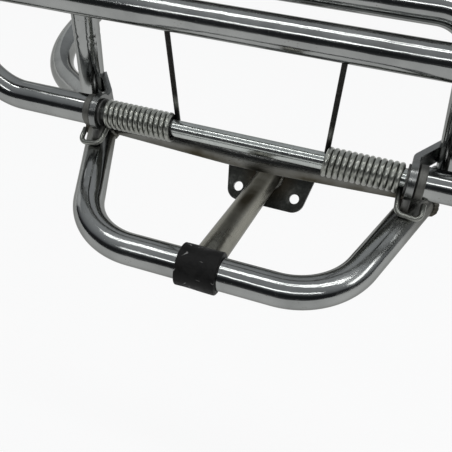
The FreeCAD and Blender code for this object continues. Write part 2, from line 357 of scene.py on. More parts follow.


# %% [markdown]
# ### Chrome
# Plated tube is a mirror that has been handled for years: fine lengthwise scratches, small pits where
# the plating has lifted, cloudy patches, and a slow waviness left from polishing. The scratches follow
# the UV map, so they bend with the tube. Brown grime near the hinge and the plate, and painted shade
# under the rail and down the middle of the stay, darken it in the same brown. It is one number per vertex,
# stored with each tube, because it follows the joints and the way each point faces, not the tube's own
# length.

# %% Chrome
CHROME_DARK = (0.225, 0.232, 0.228)
CHROME_PALE = (0.335, 0.343, 0.335)
EDGE_TINT = (0.5, 0.5, 0.49, 1)
PIT = (0.13, 0.115, 0.095)
GRIME_AND_SHADE_BROWN = (0.05, 0.044, 0.03)
GRIME_AND_SHADE_MATT = 0.3
STAY_TINT = (0.98, 0.94, 0.84)
STRIP_PAINTED_SHADE = 0.75
SCRATCH_GRID = (45, 2600, 1)
PIT_CELLS = 620.0
POLISHED = 0.07
SCRATCHED = 0.22
WAVE_HEIGHT = 0.18 * MM
SCRATCH_DEPTH = 0.02 * MM
PIT_DEPTH = 0.06 * MM


def chrome_finish(name, dull=0.0, shade=1.0):
    """Mirror metal with scratches, pits, cloudy patches and a polished wave, browned by its value of grime
    and painted shade.

    Roughness is the scratched level + the cloudy level + the share of grime and painted shade times its own
    matt level."""
    finish, tree, shader = new_finish(name)
    where = add(tree, "TexCoord")
    along = stretched(tree, where.outputs["UV"], SCRATCH_GRID)
    scratches = noise(tree, along, scale=1.0, detail=4.0, rough=0.65)
    clouds = noise(tree, where.outputs["Object"], scale=38.0, detail=4.0)
    wave = noise(tree, where.outputs["Object"], scale=95.0, detail=1.0)
    patchy = noise(tree, where.outputs["Object"], scale=60.0, detail=2.0)
    cells = add(tree, "TexVoronoi", {"feature": "F1"}, Vector=where.outputs["Object"], Scale=PIT_CELLS)
    pit_size = rescale(tree, patchy, (0.45, 0.75), (0.0, 0.24))
    pits = calc(tree, "LESS_THAN", cells.outputs["Distance"], pit_size)
    dark = np.array(CHROME_DARK) * shade
    pale = np.array(CHROME_PALE) * shade
    pitted = mix(tree, pits, ramp(tree, clouds, (0.25, dark), (0.75, pale)), PIT)
    # Brown grime, and painted shade where a tube's values hold it, are mixed into the base colour.
    stored = add(tree, "Attribute", {"attribute_name": "grime_and_shade"}).outputs["Fac"]
    uneven = rescale(tree, clouds, (0.3, 0.7), (0.55, 1.25))
    grime_and_shade = calc(tree, "MULTIPLY", stored, uneven, clamp=True)
    tree.links.new(mix(tree, grime_and_shade, pitted, GRIME_AND_SHADE_BROWN), shader.inputs["Base Color"])
    worn = rescale(tree, scratches, (0.35, 0.8), (POLISHED + dull, SCRATCHED + dull))
    cloudy = rescale(tree, clouds, (0.5, 0.8), (0.0, 0.12))
    matt = calc(tree, "MULTIPLY_ADD", grime_and_shade, GRIME_AND_SHADE_MATT, calc(tree, "ADD", worn, cloudy))
    tree.links.new(matt, shader.inputs["Roughness"])
    bent = bump(tree, wave, WAVE_HEIGHT)
    bent = bump(tree, scratches, SCRATCH_DEPTH, strength=0.4, normal=bent)
    bent = bump(tree, pits, -PIT_DEPTH, strength=0.5, normal=bent)
    tree.links.new(bent, shader.inputs["Normal"])
    shader.inputs["Metallic"].default_value = 1.0
    shader.inputs["Specular Tint"].default_value = EDGE_TINT
    return finish


chrome = chrome_finish("chrome_tube")
# The lugs' chrome is darker all over than the tubes': painted shade for their dark faces.
chrome_strip = chrome_finish("chrome_strip", dull=0.13, shade=STRIP_PAINTED_SHADE)
chrome_stay = chrome_finish("chrome_stay", dull=0.10, shade=STAY_TINT)
print("chrome made")

# %% [markdown]
# ### Spring wire
# The coils are dull pewter with bright crowns. Painted shade darkens the wire between the turns and on
# its underside, and the legs are darkened almost to black. The darkening is one number per vertex, worked
# out with the wire's shape, because a noise alone would not know where one turn meets the next.

# %% Spring wire
WIRE_DARK = (0.26, 0.27, 0.24)
WIRE_PALE = (0.47, 0.48, 0.44)
WIRE_DARKEST = (0.022, 0.021, 0.019)
DRAWN_GRID = (120, 9000, 1)


def spring_finish():
    """Dull plated wire, darkened by each point's value: painted shade between and under the turns, and dark
    legs and hook.
    """
    finish, tree, shader = new_finish("spring_wire")
    where = add(tree, "TexCoord")
    darkening = add(tree, "Attribute", {"attribute_name": "darkening"}).outputs["Fac"]
    specks = noise(tree, where.outputs["Object"], scale=900.0, detail=4.0, rough=0.7)
    drawn = noise(tree, stretched(tree, where.outputs["UV"], DRAWN_GRID), scale=1.0, detail=2.0)
    metal = ramp(tree, specks, (0.3, WIRE_DARK), (0.7, WIRE_PALE))
    edge = calc(tree, "MULTIPLY_ADD", specks, 0.5, -0.25)
    deep = calc(tree, "ADD", darkening, edge, clamp=True)
    tree.links.new(mix(tree, deep, metal, WIRE_DARKEST), shader.inputs["Base Color"])
    tree.links.new(rescale(tree, deep, (0.0, 1.0), (0.28, 0.55)), shader.inputs["Roughness"])
    bent = bump(tree, specks, 0.06 * MM)
    tree.links.new(bump(tree, drawn, 0.03 * MM, strength=0.7, normal=bent), shader.inputs["Normal"])
    shader.inputs["Metallic"].default_value = 0.9
    return finish


spring_wire = spring_finish()
print("spring wire made")

# %% [markdown]
# ### Axle, collars, washers
# The axle is zinc plated and shows the fine crossed marks of its drawing die. Collars and washers are
# turned steel gone matt. Marks could be engraved as geometry, but they are finer than a pixel from here,
# so they are two stretched noises turned opposite ways, and the higher of the two is kept.

# %% Turned steel
HATCH_GRID = (900, 60, 1)
HATCH_TURN = 0.7
MATT_SPREAD = 0.18


def turned_finish(name, pale, dark, rough, marks):
    """Matt steel with crossed tool marks on its UV map and cloudy oxide."""
    finish, tree, shader = new_finish(name)
    where = add(tree, "TexCoord")
    grids = [stretched(tree, where.outputs["UV"], HATCH_GRID, turn) for turn in (HATCH_TURN, -HATCH_TURN)]
    crossed = calc(tree, "MAXIMUM", *[noise(tree, grid, scale=1.0, detail=1.0) for grid in grids])
    clouds = noise(tree, where.outputs["Object"], scale=110.0, detail=3.0)
    both = calc(tree, "MULTIPLY", crossed, clouds)
    tree.links.new(ramp(tree, both, (0.15, dark), (0.45, pale)), shader.inputs["Base Color"])
    matt = rescale(tree, crossed, (0.4, 0.8), (rough, rough + MATT_SPREAD))
    tree.links.new(matt, shader.inputs["Roughness"])
    tree.links.new(bump(tree, crossed, marks), shader.inputs["Normal"])
    shader.inputs["Metallic"].default_value = 0.9
    shader.inputs["Specular Tint"].default_value = EDGE_TINT
    return finish


axle_zinc = turned_finish("axle_zinc", (0.48, 0.505, 0.485), (0.38, 0.40, 0.385), 0.10, 0.003 * MM)
collar_steel = turned_finish("collar_steel", (0.21, 0.21, 0.195), (0.13, 0.13, 0.12), 0.5, 0.02 * MM)
washer_steel = turned_finish("washer_steel", (0.22, 0.22, 0.21), (0.07, 0.07, 0.07), 0.4, 0.03 * MM)
print("turned steel made")

# %% [markdown]
# ### Plate and tabs
# The plate is dull plated sheet, nearly black where the plating has stained, with rubbed patches and
# brown dirt round the foot of the stay. Stains could be painted on an image, but noise on Object
# coordinates runs round the edges without a seam and needs no file.

# %% Stained sheet
STAIN_DARK = (0.012, 0.013, 0.011)
STAIN_MIDDLE = (0.026, 0.028, 0.025)
STAIN_PALE = (0.07, 0.073, 0.067)
RUBBED = (0.012, 0.012, 0.011)
FOOT_DIRT = (0.026, 0.020, 0.011)
FOOT_AT = (0.0, 9.8 * MM, 8.5 * MM)
FOOT_REACH = (10.0 * MM, 22.0 * MM)


def sheet_finish():
    """Dull sheet steel with stains, rubbed patches and dirt that fades away from the stay's foot."""
    finish, tree, shader = new_finish("stained_sheet")
    where = add(tree, "TexCoord")
    stain = noise(tree, where.outputs["Object"], scale=90.0, detail=5.0, rough=0.65)
    rubbed = noise(tree, where.outputs["Object"], scale=320.0, detail=4.0, rough=0.7)
    grey = ramp(tree, stain, (0.32, STAIN_DARK), (0.55, STAIN_MIDDLE), (0.75, STAIN_PALE))
    worn = mix(tree, ramp(tree, rubbed, (0.42, 0.0), (0.7, 0.55)), grey, RUBBED)
    away = add(tree, "VectorMath", {"operation": "DISTANCE"}, i0=where.outputs["Object"], i1=FOOT_AT)
    near = rescale(tree, away.outputs["Value"], FOOT_REACH, (0.9, 0.0))
    tree.links.new(mix(tree, near, worn, FOOT_DIRT), shader.inputs["Base Color"])
    tree.links.new(ramp(tree, stain, (0.3, 0.55), (0.7, 0.3)), shader.inputs["Roughness"])
    tree.links.new(bump(tree, rubbed, 0.12 * MM), shader.inputs["Normal"])
    shader.inputs["Metallic"].default_value = 0.75
    return finish


stained_sheet = sheet_finish()
print("stained sheet made")

# %% [markdown]
# ### Rubber
# The sleeve is matt black rubber that the flap lands on: scuffed grey in patches, with pale scratches.
# A scratch is a thin line, so it is taken where a slow noise crosses its middle value.

# %% Rubber
RUBBER_DARK = (0.004, 0.004, 0.004)
RUBBER_PALE = (0.014, 0.014, 0.0135)
RUBBER_SCRATCH = (0.34, 0.34, 0.33)


def rubber_finish():
    """Black rubber with grey scuffs, and pale scratches where |noise - 0.5| is small."""
    finish, tree, shader = new_finish("scuffed_rubber")
    where = add(tree, "TexCoord")
    grain = noise(tree, where.outputs["Object"], scale=1500.0, detail=3.0)
    scuffs = noise(tree, where.outputs["Object"], scale=210.0, detail=5.0, rough=0.7)
    slow = noise(tree, where.outputs["Object"], scale=85.0, detail=1.5)
    thin = calc(tree, "ABSOLUTE", calc(tree, "SUBTRACT", slow, 0.5))
    broken = noise(tree, where.outputs["Object"], scale=160.0, detail=1.0)
    line = ramp(tree, thin, (0.003, 0.9), (0.007, 0.0))
    there = ramp(tree, broken, (0.56, 0.0), (0.62, 1.0))
    black = ramp(tree, scuffs, (0.4, RUBBER_DARK), (0.72, RUBBER_PALE))
    scratched = calc(tree, "MULTIPLY", line, there)
    tree.links.new(mix(tree, scratched, black, RUBBER_SCRATCH), shader.inputs["Base Color"])
    tree.links.new(ramp(tree, scuffs, (0.3, 0.42), (0.7, 0.75)), shader.inputs["Roughness"])
    bent = bump(tree, scuffs, 0.4 * MM, strength=0.7)
    tree.links.new(bump(tree, grain, 0.06 * MM, strength=0.8, normal=bent), shader.inputs["Normal"])
    shader.inputs["Specular IOR Level"].default_value = 0.13
    return finish


scuffed_rubber = rubber_finish()
print("rubber made")

# %% [markdown]
# ## The rail and its arms
# One long tube carries everything: a rail that bows forwards a little at its ends, a corner, an arm that
# runs out, down and forwards, and a last bend into a straight end with a bolt tab. A curve with a round
# bevel would give the same tube. Rings are used because the painted shade below the rail is worked out from
# the way that each point of the skin faces.

# %% Main rail
RAIL_DROP = 17.0 * MM
RAIL_AHEAD = 9.9 * MM
RAIL_BOW = 5.4 * MM
RAIL_BOW_R = 450.0 * MM
RAIL_CORNER_X = 99.5 * MM
RAIL_CORNER_R = 40.0 * MM
ARM_BEND_AHEAD = 95.0 * MM
ARM_BEND_R = 115.0 * MM
ROUND = 72
RAIL_SHADE_END = 112.0 * MM
RAIL_SHADE_FADE = 18.0 * MM
RAIL_SHADE = 0.9
SHADE_LEVEL = 0.55
SHADE_BELOW = 0.5
SHADE_BEHIND = 0.35

rail_z = AXLE[2] - RAIL_DROP
rail_middle = (0, AXLE[1] + RAIL_AHEAD, rail_z)
rail_corner = np.array((RAIL_CORNER_X, AXLE[1] + RAIL_AHEAD + RAIL_BOW, rail_z))
arm_bend = np.array((ARM_X, AXLE[1] + ARM_BEND_AHEAD, ARM_Z))
rail_right = [(ARM_X, ARM_END_Y, ARM_Z), arm_bend, rail_corner]
rail_route = rounded_route([*rail_right, rail_middle, *mirrored(rail_right)],
                           [ARM_BEND_R, RAIL_CORNER_R, RAIL_BOW_R, RAIL_CORNER_R, ARM_BEND_R])
rail_rings = swept_rings(rail_route, TUBE_R, (0, 0, 1), ROUND)
rail_rings = with_mouths(rail_rings, rail_route, TUBE_R, TUBE_R - TUBE_WALL)
rail = skin("rail_skin", rail_rings, chrome)
rail_out = unit(rail_rings - rail_rings.mean(axis=1, keepdims=True))
# Painted shade: near the middle, the rail's underside and its side facing back are darkened and browned.
rail_painted_shade = np.clip(SHADE_LEVEL - SHADE_BELOW * rail_out[..., 2] - SHADE_BEHIND * rail_out[..., 1], 0, 1)
rail_inside = np.clip((RAIL_SHADE_END - np.abs(rail_rings[..., 0])) / RAIL_SHADE_FADE, 0, 1)
point_value(rail, "grime_and_shade", np.append((RAIL_SHADE * rail_painted_shade * rail_inside).ravel(), (0, 0)))
dress(rail, "frame", "chrome", "main_rail")

# %% [markdown]
# ## The rear hoop
# The hoop's legs run back from the rail and round into a straight base. Its ends are hidden at the rail,
# so the skin simply runs on into that tube, which is easier than cutting a saddle and looks the same once
# it is welded. Grime fades along the legs, away from the hinge.

# %% Rear hoop
HOOP_OUTSIDE = 4.0 * MM
HOOP_CORNER_X = 70.3 * MM
HOOP_CORNER_R = 42.0 * MM
HOOP_GRIME_REACH = 34.0 * MM
HOOP_GRIME_START = 6.0 * MM
HOOP_GRIME = 0.75
END_INSET = 3.0 * MM

hoop_x = LUG_X + HOOP_OUTSIDE
hoop_splay = (hoop_x - HOOP_CORNER_X) / (AXLE[1] - HOOP_Y)
hoop_top_y = rail_corner[1] - END_INSET
hoop_right = np.array([
    (hoop_x + hoop_splay * (hoop_top_y - AXLE[1]), hoop_top_y, HOOP_Z),
    (HOOP_CORNER_X, HOOP_Y, HOOP_Z),
])
hoop_route = rounded_route([*hoop_right, *mirrored(hoop_right)], [HOOP_CORNER_R, HOOP_CORNER_R])
hoop_rings = swept_rings(hoop_route, TUBE_R, (0, 0, 1), ROUND)
hoop = skin("hoop_skin", hoop_rings, chrome)
to_hinge = np.clip(1 - (AXLE[1] + HOOP_GRIME_START - hoop_rings[..., 1]) / HOOP_GRIME_REACH, 0, 1)
point_value(hoop, "grime_and_shade", np.append((HOOP_GRIME * to_hinge).ravel(), (1, 1)))
dress(hoop, "frame", "chrome", "rear_hoop")

# %% [markdown]
# ## The grab hoop
# Two uprights stand on the arms, lean inwards a little and carry a top bar. Their feet run on to the
# middle of the arms. One upright has a shallow dent. It could be sculpted, but a sweep may have a radius
# of its own at each station, so the radius dips there instead.

# %% Grab hoop
GRAB_CORNER_R = 22.0 * MM
GRAB_OUTSIDE = 19.0 * MM
GRAB_LEAN = 7.0 * MM
GRAB_STEP = 1.0 * MM
DENT_UP = 36.0 * MM
DENT_DEPTH = 0.16 * MM
DENT_SPREAD = 4.5 * MM
DENT_RIPPLE = 5.0 * MM

grab_x = LUG_X + GRAB_OUTSIDE
arm_share = (grab_x - rail_corner[0]) / (arm_bend[0] - rail_corner[0])
grab_foot_z = rail_corner[2] + (arm_bend[2] - rail_corner[2]) * arm_share
lean_slope = GRAB_LEAN / (GRAB_TOP - AXLE[2])
grab_right = np.array([
    (grab_x + lean_slope * (AXLE[2] - grab_foot_z), GRAB_Y, grab_foot_z),
    (grab_x - GRAB_LEAN, GRAB_Y, GRAB_TOP),
])
grab_corners = [*grab_right, *mirrored(grab_right)]
grab_route = rounded_route(grab_corners, [GRAB_CORNER_R, GRAB_CORNER_R], GRAB_STEP)
lift = grab_route[:, 2] - AXLE[2] - DENT_UP
dented = np.exp(-(lift / DENT_SPREAD) ** 2) * (grab_route[:, 0] < 0)
grab_radius = GRAB_R - DENT_DEPTH * dented * (0.5 + 0.5 * np.cos(2 * math.pi * lift / DENT_RIPPLE))
dress(skin("grab_hoop_skin", swept_rings(grab_route, grab_radius, (0, 1, 0), ROUND), chrome),
      "frame", "chrome", "grab_hoop")

# %% [markdown]
# ## The stay
# The stay goes from the hoop's base to the plate and is cut flat there. A Boolean would cut it, but leave
# a ragged UV map. Instead, each point past the plate slides back along the tube, which keeps the rings
# whole. Grime darkens it most at the plate, and painted shade reaches along the middle in a tongue that
# narrows towards the hoop.

# %% Stay
STAY_SEAT = 13.0 * MM
STAY_SINK = 0.5 * MM
STAY_GRIME_REACH = 46.0 * MM
TONGUE_SHADE = 0.9
TONGUE_ASIDE = 0.1
TONGUE_TIP = 0.22
TONGUE_WIDENS = 0.5
TONGUE_START = 0.1
TONGUE_FADE = 0.4

plate_axis = np.array(frame["record"]["mounts"][0]["axis"], float)
stay_top = np.array((0, HOOP_Y, HOOP_Z))
stay_foot = np.array((0, plate_axis[2], -plate_axis[1])) * STAY_SEAT
stay_run = unit(stay_foot - stay_top)
stay_route = rounded_route([stay_top, stay_foot + stay_run * END_INSET], [])
stay_rings = swept_rings(stay_route, STAY_R, (0, 0, 1), ROUND)
above_plate = stay_rings @ plate_axis
sunk = np.minimum(above_plate + STAY_SINK, 0) / (stay_run @ plate_axis)
stay_rings = stay_rings - sunk[..., None] * stay_run
stay = skin("stay_skin", stay_rings, chrome_stay)
to_foot = np.clip(1 - np.linalg.norm(stay_rings - stay_foot, axis=2) / STAY_GRIME_REACH, 0, 1)
along_stay = np.linspace(0, 1, len(stay_rings))[:, None]
across_stay = stay_rings[..., 0] / STAY_R
tongue_width = TONGUE_TIP + TONGUE_WIDENS * along_stay
tongue_fade = np.clip((along_stay - TONGUE_START) / TONGUE_FADE, 0, 1)
# Painted shade: a dark tongue down the middle of the stay, widening towards the plate.
tongue = tongue_fade * np.exp(-((across_stay - TONGUE_ASIDE) / tongue_width) ** 4)
stay_grime_and_shade = np.maximum(to_foot, TONGUE_SHADE * tongue)
point_value(stay, "grime_and_shade", np.append(stay_grime_and_shade.ravel(), (0, 1)))
dress(stay, "frame", "chrome", "stay_tube")

# %% [markdown]
# ## The folding loop
# The flap is a flat racetrack of the same tube, open at the hinge, where its ends are closed by collars.
# It leans on the uprights, so its plane is tilted: the upright direction of the sweep is its normal. The
# same sweep makes it, so that scratches have one scale on the frame and on the flap.

# %% Flap loop
flap_high = corners_of("flap_loop")[1]
FLAP_RISE = 69.0 * MM
COLLAR_FLANGE = 5.0 * MM
FLAP_STATIONS = 120
flap_end_r = FLAP_RISE / 2
flap_bend_x = flap_high[0] - TUBE_R - flap_end_r
flap_lean = math.acos((flap_high[2] - TUBE_R - AXLE[2]) / FLAP_RISE)
flap_up = np.array((0, math.sin(flap_lean), math.cos(flap_lean)))
collar_face = corners_of("end_collar_right")[0][0] + COLLAR_FLANGE


def on_flap(x, rise):
    """A point in the loop's plane: the axle's line at x, plus the rise along the lean."""
    y = AXLE[1] + rise * flap_up[1]
    z = AXLE[2] + rise * flap_up[2]
    return np.stack(np.broadcast_arrays(x, y, z), axis=-1)


half_turn = np.linspace(-math.pi / 2, math.pi / 2, FLAP_STATIONS)
flap_right = np.concatenate([
    on_flap(np.array([collar_face]), 0.0),
    on_flap(flap_bend_x + flap_end_r * np.cos(half_turn), flap_end_r + flap_end_r * np.sin(half_turn)),
])
flap_route = even_steps(np.concatenate([flap_right, mirrored(flap_right)]), TUBE_STEP)
flap_rings = swept_rings(flap_route, TUBE_R, np.cross((1, 0, 0), flap_up), ROUND)
dress(skin("flap_skin", flap_rings, chrome), "flap", "chrome", "flap_loop")

# %% [markdown]
# ## Axle, collars and washers
# These are turned pieces: a profile of (place along the axle, radius) spun round the hinge line, with
# small chamfers so that their edges catch light. A Screw modifier would spin the profile too. With arrays
# the same skin helper closes the ends and lays out the UV map in metres.


# %% Turned pieces
def turned(name, profile, finish, around=96):
    """A profile of (x, radius) pairs spun about the hinge line; x has to grow."""
    profile = np.array(profile, float)
    a = np.linspace(0, 2 * math.pi, around, endpoint=False)
    spun = np.stack([np.zeros(around), np.cos(a), np.sin(a)], axis=1)
    centres = np.zeros((len(profile), 3)) + AXLE
    centres[:, 0] = profile[:, 0]
    return skin(name, centres[:, None] + spun * profile[:, 1, None, None], finish, crease=25)


CHAMFER = 0.5 * MM
WASHER_EDGE = 0.25 * MM
AXLE_STATIONS = 60
axle_x = np.linspace(-AXLE_HALF + CHAMFER, AXLE_HALF - CHAMFER, AXLE_STATIONS)
axle_profile = [(x, AXLE_R) for x in axle_x]
axle_profile = [(-AXLE_HALF, AXLE_R - CHAMFER), *axle_profile, (AXLE_HALF, AXLE_R - CHAMFER)]
dress(turned("axle_skin", axle_profile, axle_zinc), "flap", "zinc", "hinge_axle")

for side, word in ((1, "right"), (-1, "left")):
    low, high = corners_of("end_collar_" + word)
    rim_r = (high[2] - low[2]) / 2
    inner = min(abs(low[0]), abs(high[0]))
    steps = [(inner, rim_r - 3 * CHAMFER), (inner + CHAMFER, rim_r - CHAMFER), (inner + 2 * CHAMFER, rim_r),
             (collar_face - CHAMFER, rim_r), (collar_face, rim_r - CHAMFER),
             (collar_face + CHAMFER, TUBE_R - CHAMFER), (max(abs(low[0]), abs(high[0])), TUBE_R - TUBE_WALL)]
    steps = sorted((side * x, r) for x, r in steps)
    dress(turned("collar_skin_" + word, steps, collar_steel), "flap", "collar_steel", "end_collar_" + word)
    low, high = corners_of("washer_" + word)
    disc_r = (high[2] - low[2]) / 2
    steps = [(low[0], disc_r - WASHER_EDGE), (low[0] + WASHER_EDGE, disc_r),
             (high[0] - WASHER_EDGE, disc_r), (high[0], disc_r - WASHER_EDGE)]
    dress(turned("washer_skin_" + word, steps, washer_steel), "frame", "zinc", "washer_" + word)

# %% [markdown]
# ## The torsion springs
# Each spring is one wire: a straight leg from the flap's top bar, thirteen turns round the axle, and a
# hook behind the lug's tail. A Screw modifier makes a coil, but not a leg, a coil and a hook in one wire,
# so a round skin is swept along the whole line.

# %% Spring wire line
WIRE_R = 1.55 * MM
COIL_TURNS = 13
COIL_END_TURN = 60.0
COIL_PITCH = 3.27 * MM
COIL_R = 7.12 * MM
HOOK_R = 4.0 * MM
HOOK_DROP = 13.25 * MM
HOOK_DIP = 2.0 * MM
HOOK_LIFT = 2.0 * MM
HOOK_RETURN = 9.0 * MM
LEG_LEAN = 2.8 * MM
COIL_STATIONS = 56
HOOK_STEP = 0.35 * MM
LEG_STEP = 1.0 * MM
HOOK_FADE = 0.3
HOOK_UPRIGHT = (0, 0.3, 0.95)

wire_low, wire_high = corners_of("spring_right")
coil_start = wire_low[0] + WIRE_R
coil_end_angle = 2 * math.pi * COIL_TURNS + math.radians(COIL_END_TURN)
angle = np.linspace(0, coil_end_angle, COIL_STATIONS * COIL_TURNS)
coil = np.stack([
    coil_start + COIL_PITCH * angle / (2 * math.pi),
    AXLE[1] + COIL_R * np.cos(angle),
    AXLE[2] - COIL_R * np.sin(angle),
], axis=1)
leg_rise = wire_high[2] - AXLE[2]
leg_tip = np.array((coil_start + LEG_LEAN, AXLE[1] + leg_rise * math.tan(flap_lean), wire_high[2]))
hook_back = wire_low[1] + WIRE_R
hook_z = AXLE[2] - HOOK_DROP
hook_out = wire_high[0] - WIRE_R
hook_corners = [
    coil[-1],
    (coil[-1][0] + WIRE_R, hook_back, hook_z),
    (hook_out, hook_back, hook_z - HOOK_DIP),
    (hook_out, hook_back + HOOK_RETURN, hook_z + HOOK_LIFT),
]
hook = rounded_route(hook_corners, [HOOK_R, HOOK_R], HOOK_STEP)
leg = even_steps(np.stack([leg_tip, coil[0]]), LEG_STEP)
wire = np.concatenate([leg[:-1], coil, hook[1:]])
past_coil = np.arange(len(wire)) - len(leg) - len(coil) + 2
hook_share = np.clip(past_coil / (HOOK_FADE * len(hook)), 0, 1)[:, None]
lean_over = hook_share * hook_share * (3 - 2 * hook_share) * math.pi / 2
wire_upright = np.cos(lean_over) * (1, 0, 0) + np.sin(lean_over) * HOOK_UPRIGHT
print("wire length", round(float(np.linalg.norm(np.diff(wire, axis=0), axis=1).sum()), 3))

# %% Springs
WIRE_ROUND = 20
TIP_SHARE = 0.8
UNDER_LEVEL = 0.15
UNDER_SLOPE = 0.6
UNDER_SHADE_MOST = 0.55
CREVICE_LEVEL = 0.55
CREVICE_SLOPE = 0.75
HOOK_DARKENING = 0.35
LEG_DARK_START = 8.0 * MM
LEG_DARK_FADE = 12.0 * MM

wire_rings = swept_rings(wire, WIRE_R, wire_upright, WIRE_ROUND)
wire_rings[0] = wire[0] + (wire_rings[0] - wire[0]) * TIP_SHARE
wire_rings[-1] = wire[-1] + (wire_rings[-1] - wire[-1]) * TIP_SHARE
outward = unit(wire_rings - wire[:, None])
radial = unit((wire - AXLE) * (0, 1, 1))
crown = (outward * radial[:, None]).sum(axis=2)
# Painted shade: the wire is darker on its underside and where it faces the axle and the next turn.
under = np.clip(UNDER_LEVEL - UNDER_SLOPE * outward[..., 2], 0, UNDER_SHADE_MOST)
crevice_shade = np.clip(CREVICE_LEVEL - CREVICE_SLOPE * crown, 0, 1)
between = np.clip(crevice_shade + under, 0, 1)
# Above the coil the legs are darkened almost to black, and the hook by a fixed share.
on_leg = np.clip((wire[:, 2] - AXLE[2] - LEG_DARK_START) / LEG_DARK_FADE, 0, 1)[:, None]
wire_darkening = np.maximum(between * (1 - on_leg), on_leg)
wire_darkening = wire_darkening * (1 - hook_share) + HOOK_DARKENING * hook_share
wire_ends = [wire_darkening[0].mean(), wire_darkening[-1].mean()]
for side, word in ((1, "right"), (-1, "left")):
    spring = skin("spring_skin_" + word, (wire_rings * (side, 1, 1))[:, ::side], spring_wire)
    point_value(spring, "darkening", np.append(wire_darkening[:, ::side].ravel(), wire_ends))
    dress(spring, None, "spring_steel", "spring_" + word)
    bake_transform(spring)

# %% [markdown]
# ## The rubber sleeve
# A short length of rubber hose on the hoop's base. Its outside is a function of the angle and of the
# place along the tube: a straight ring with rounded lips, and slow lumps from being hit. It could be
# sculpted, but a formula gives the same lumps each time.

# %% Sleeve
sleeve_low, sleeve_high = corners_of("rubber_sleeve")
sleeve_half = (sleeve_high[0] - sleeve_low[0]) / 2
sleeve_r = (sleeve_high[2] - sleeve_low[2]) / 2
LIP = 0.7 * MM
LUMP = 0.35 * MM
LUMP_SINK = 0.6
SLOW_LUMPS = 190.0
QUICK_LUMPS = 260.0
QUICK_SHARE = 0.7
BORE_SINK = 0.2 * MM
SLEEVE_ROUND = 144
SLEEVE_STATIONS = 60
LIP_STATIONS = 6
round_angle = np.linspace(0, 2 * math.pi, SLEEVE_ROUND, endpoint=False)
outer_x = np.linspace(-sleeve_half + LIP, sleeve_half - LIP, SLEEVE_STATIONS)
lip_turn = np.linspace(0, math.pi / 2, LIP_STATIONS)
edge_x = sleeve_half - LIP + LIP * np.sin(lip_turn)
edge_r = sleeve_r - LIP + LIP * np.cos(lip_turn)
sleeve_x = np.r_[-sleeve_half, -edge_x[::-1], outer_x[1:-1], edge_x, sleeve_half]
sleeve_bore = TUBE_R - BORE_SINK
sleeve_rad = np.r_[sleeve_bore, edge_r[::-1], np.full(len(outer_x) - 2, sleeve_r), edge_r, sleeve_bore]
grown = np.clip((sleeve_rad - TUBE_R) / (sleeve_r - TUBE_R), 0, 1)[:, None]
slow = np.sin(3 * round_angle + 1.1) * np.cos(SLOW_LUMPS * sleeve_x[:, None] + 0.6)
quick = np.sin(5 * round_angle + QUICK_LUMPS * sleeve_x[:, None])
lumps = slow + QUICK_SHARE * quick
sleeve_radius = sleeve_rad[:, None] + LUMP * grown * (lumps / 2 - LUMP_SINK)
sleeve_route = np.stack([sleeve_x, np.full(len(sleeve_x), HOOP_Y), np.full(len(sleeve_x), HOOP_Z)], axis=1)
spun = np.stack([np.zeros(SLEEVE_ROUND), np.cos(round_angle), np.sin(round_angle)], axis=1)
sleeve_rings = sleeve_route[:, None] + spun * sleeve_radius[..., None]
dress(skin("sleeve_skin", sleeve_rings, scuffed_rubber), "frame", "rubber", "rubber_sleeve")

# %% [markdown]
# ## Lugs, plate and tabs
# The solids already have the right outlines, holes and bends, and only their edges are too sharp. A copy
# of each is merged into clean faces and gets a small bevel, as a punched and plated strip has.


# %% Softened sheet pieces
LUG_SOFT = 0.6 * MM
TAB_SOFT = 0.5 * MM
PLATE_SOFT = 0.6 * MM
LUG_CLEAN = 6.0 * MM
TAIL_FADE = 6.0 * MM
TAIL_GRIME = 0.8
MERGE_WITHIN = 1e-6
FLAT_WITHIN = math.radians(0.5)
SMOOTH_BELOW = math.radians(30)
BEVEL_ABOVE = math.radians(35)


def softened(name, node, finish, width):
    """A merged copy of a solid's mesh, with its sharp edges bevelled by a width."""
    shape = bmesh.new()
    shape.from_mesh(frame["nodes"][node].data)
    bmesh.ops.remove_doubles(shape, verts=shape.verts, dist=MERGE_WITHIN)
    bmesh.ops.dissolve_limit(shape, angle_limit=FLAT_WITHIN, verts=shape.verts, edges=shape.edges)
    mesh = bpy.data.meshes.new(name)
    shape.to_mesh(mesh)
    shape.free()
    mesh.materials.clear()
    mesh.materials.append(finish)
    mesh.polygons.foreach_set("use_smooth", np.ones(len(mesh.polygons), bool))
    mesh.set_sharp_from_angle(angle=SMOOTH_BELOW)
    piece = bpy.data.objects.new(name, mesh)
    bpy.context.collection.objects.link(piece)
    bevel = piece.modifiers.new("soft_edges", "BEVEL")
    bevel.width = width
    bevel.segments = 3
    bevel.limit_method = "ANGLE"
    bevel.angle_limit = BEVEL_ABOVE
    bevel.harden_normals = True
    return piece


for word in ("right", "left"):
    lug = softened("lug_skin_" + word, "hinge_lug_" + word, chrome_strip, LUG_SOFT)
    lug_z = np.array([v.co.z for v in lug.data.vertices])
    point_value(lug, "grime_and_shade", TAIL_GRIME * np.clip((AXLE[2] - LUG_CLEAN - lug_z) / TAIL_FADE, 0, 1))
    dress(lug, "frame", "chrome", "hinge_lug_" + word)
    dress(softened("tab_skin_" + word, "arm_tab_" + word, stained_sheet, TAB_SOFT),
          "frame", "dark_steel", "arm_tab_" + word)
dress(softened("plate_skin", "mount_plate", stained_sheet, PLATE_SOFT), "frame", "dark_steel", "mount_plate")

# %% [markdown]
# ## Weld beads
# Every joint has a bead of weld, plated over with the rest. The bead's line is where the end of one tube
# meets the other: along each straight line of the first tube's skin, the first point that comes within
# the other tube's radius. The bead is a ripple of small overlapping pools along that closed line.


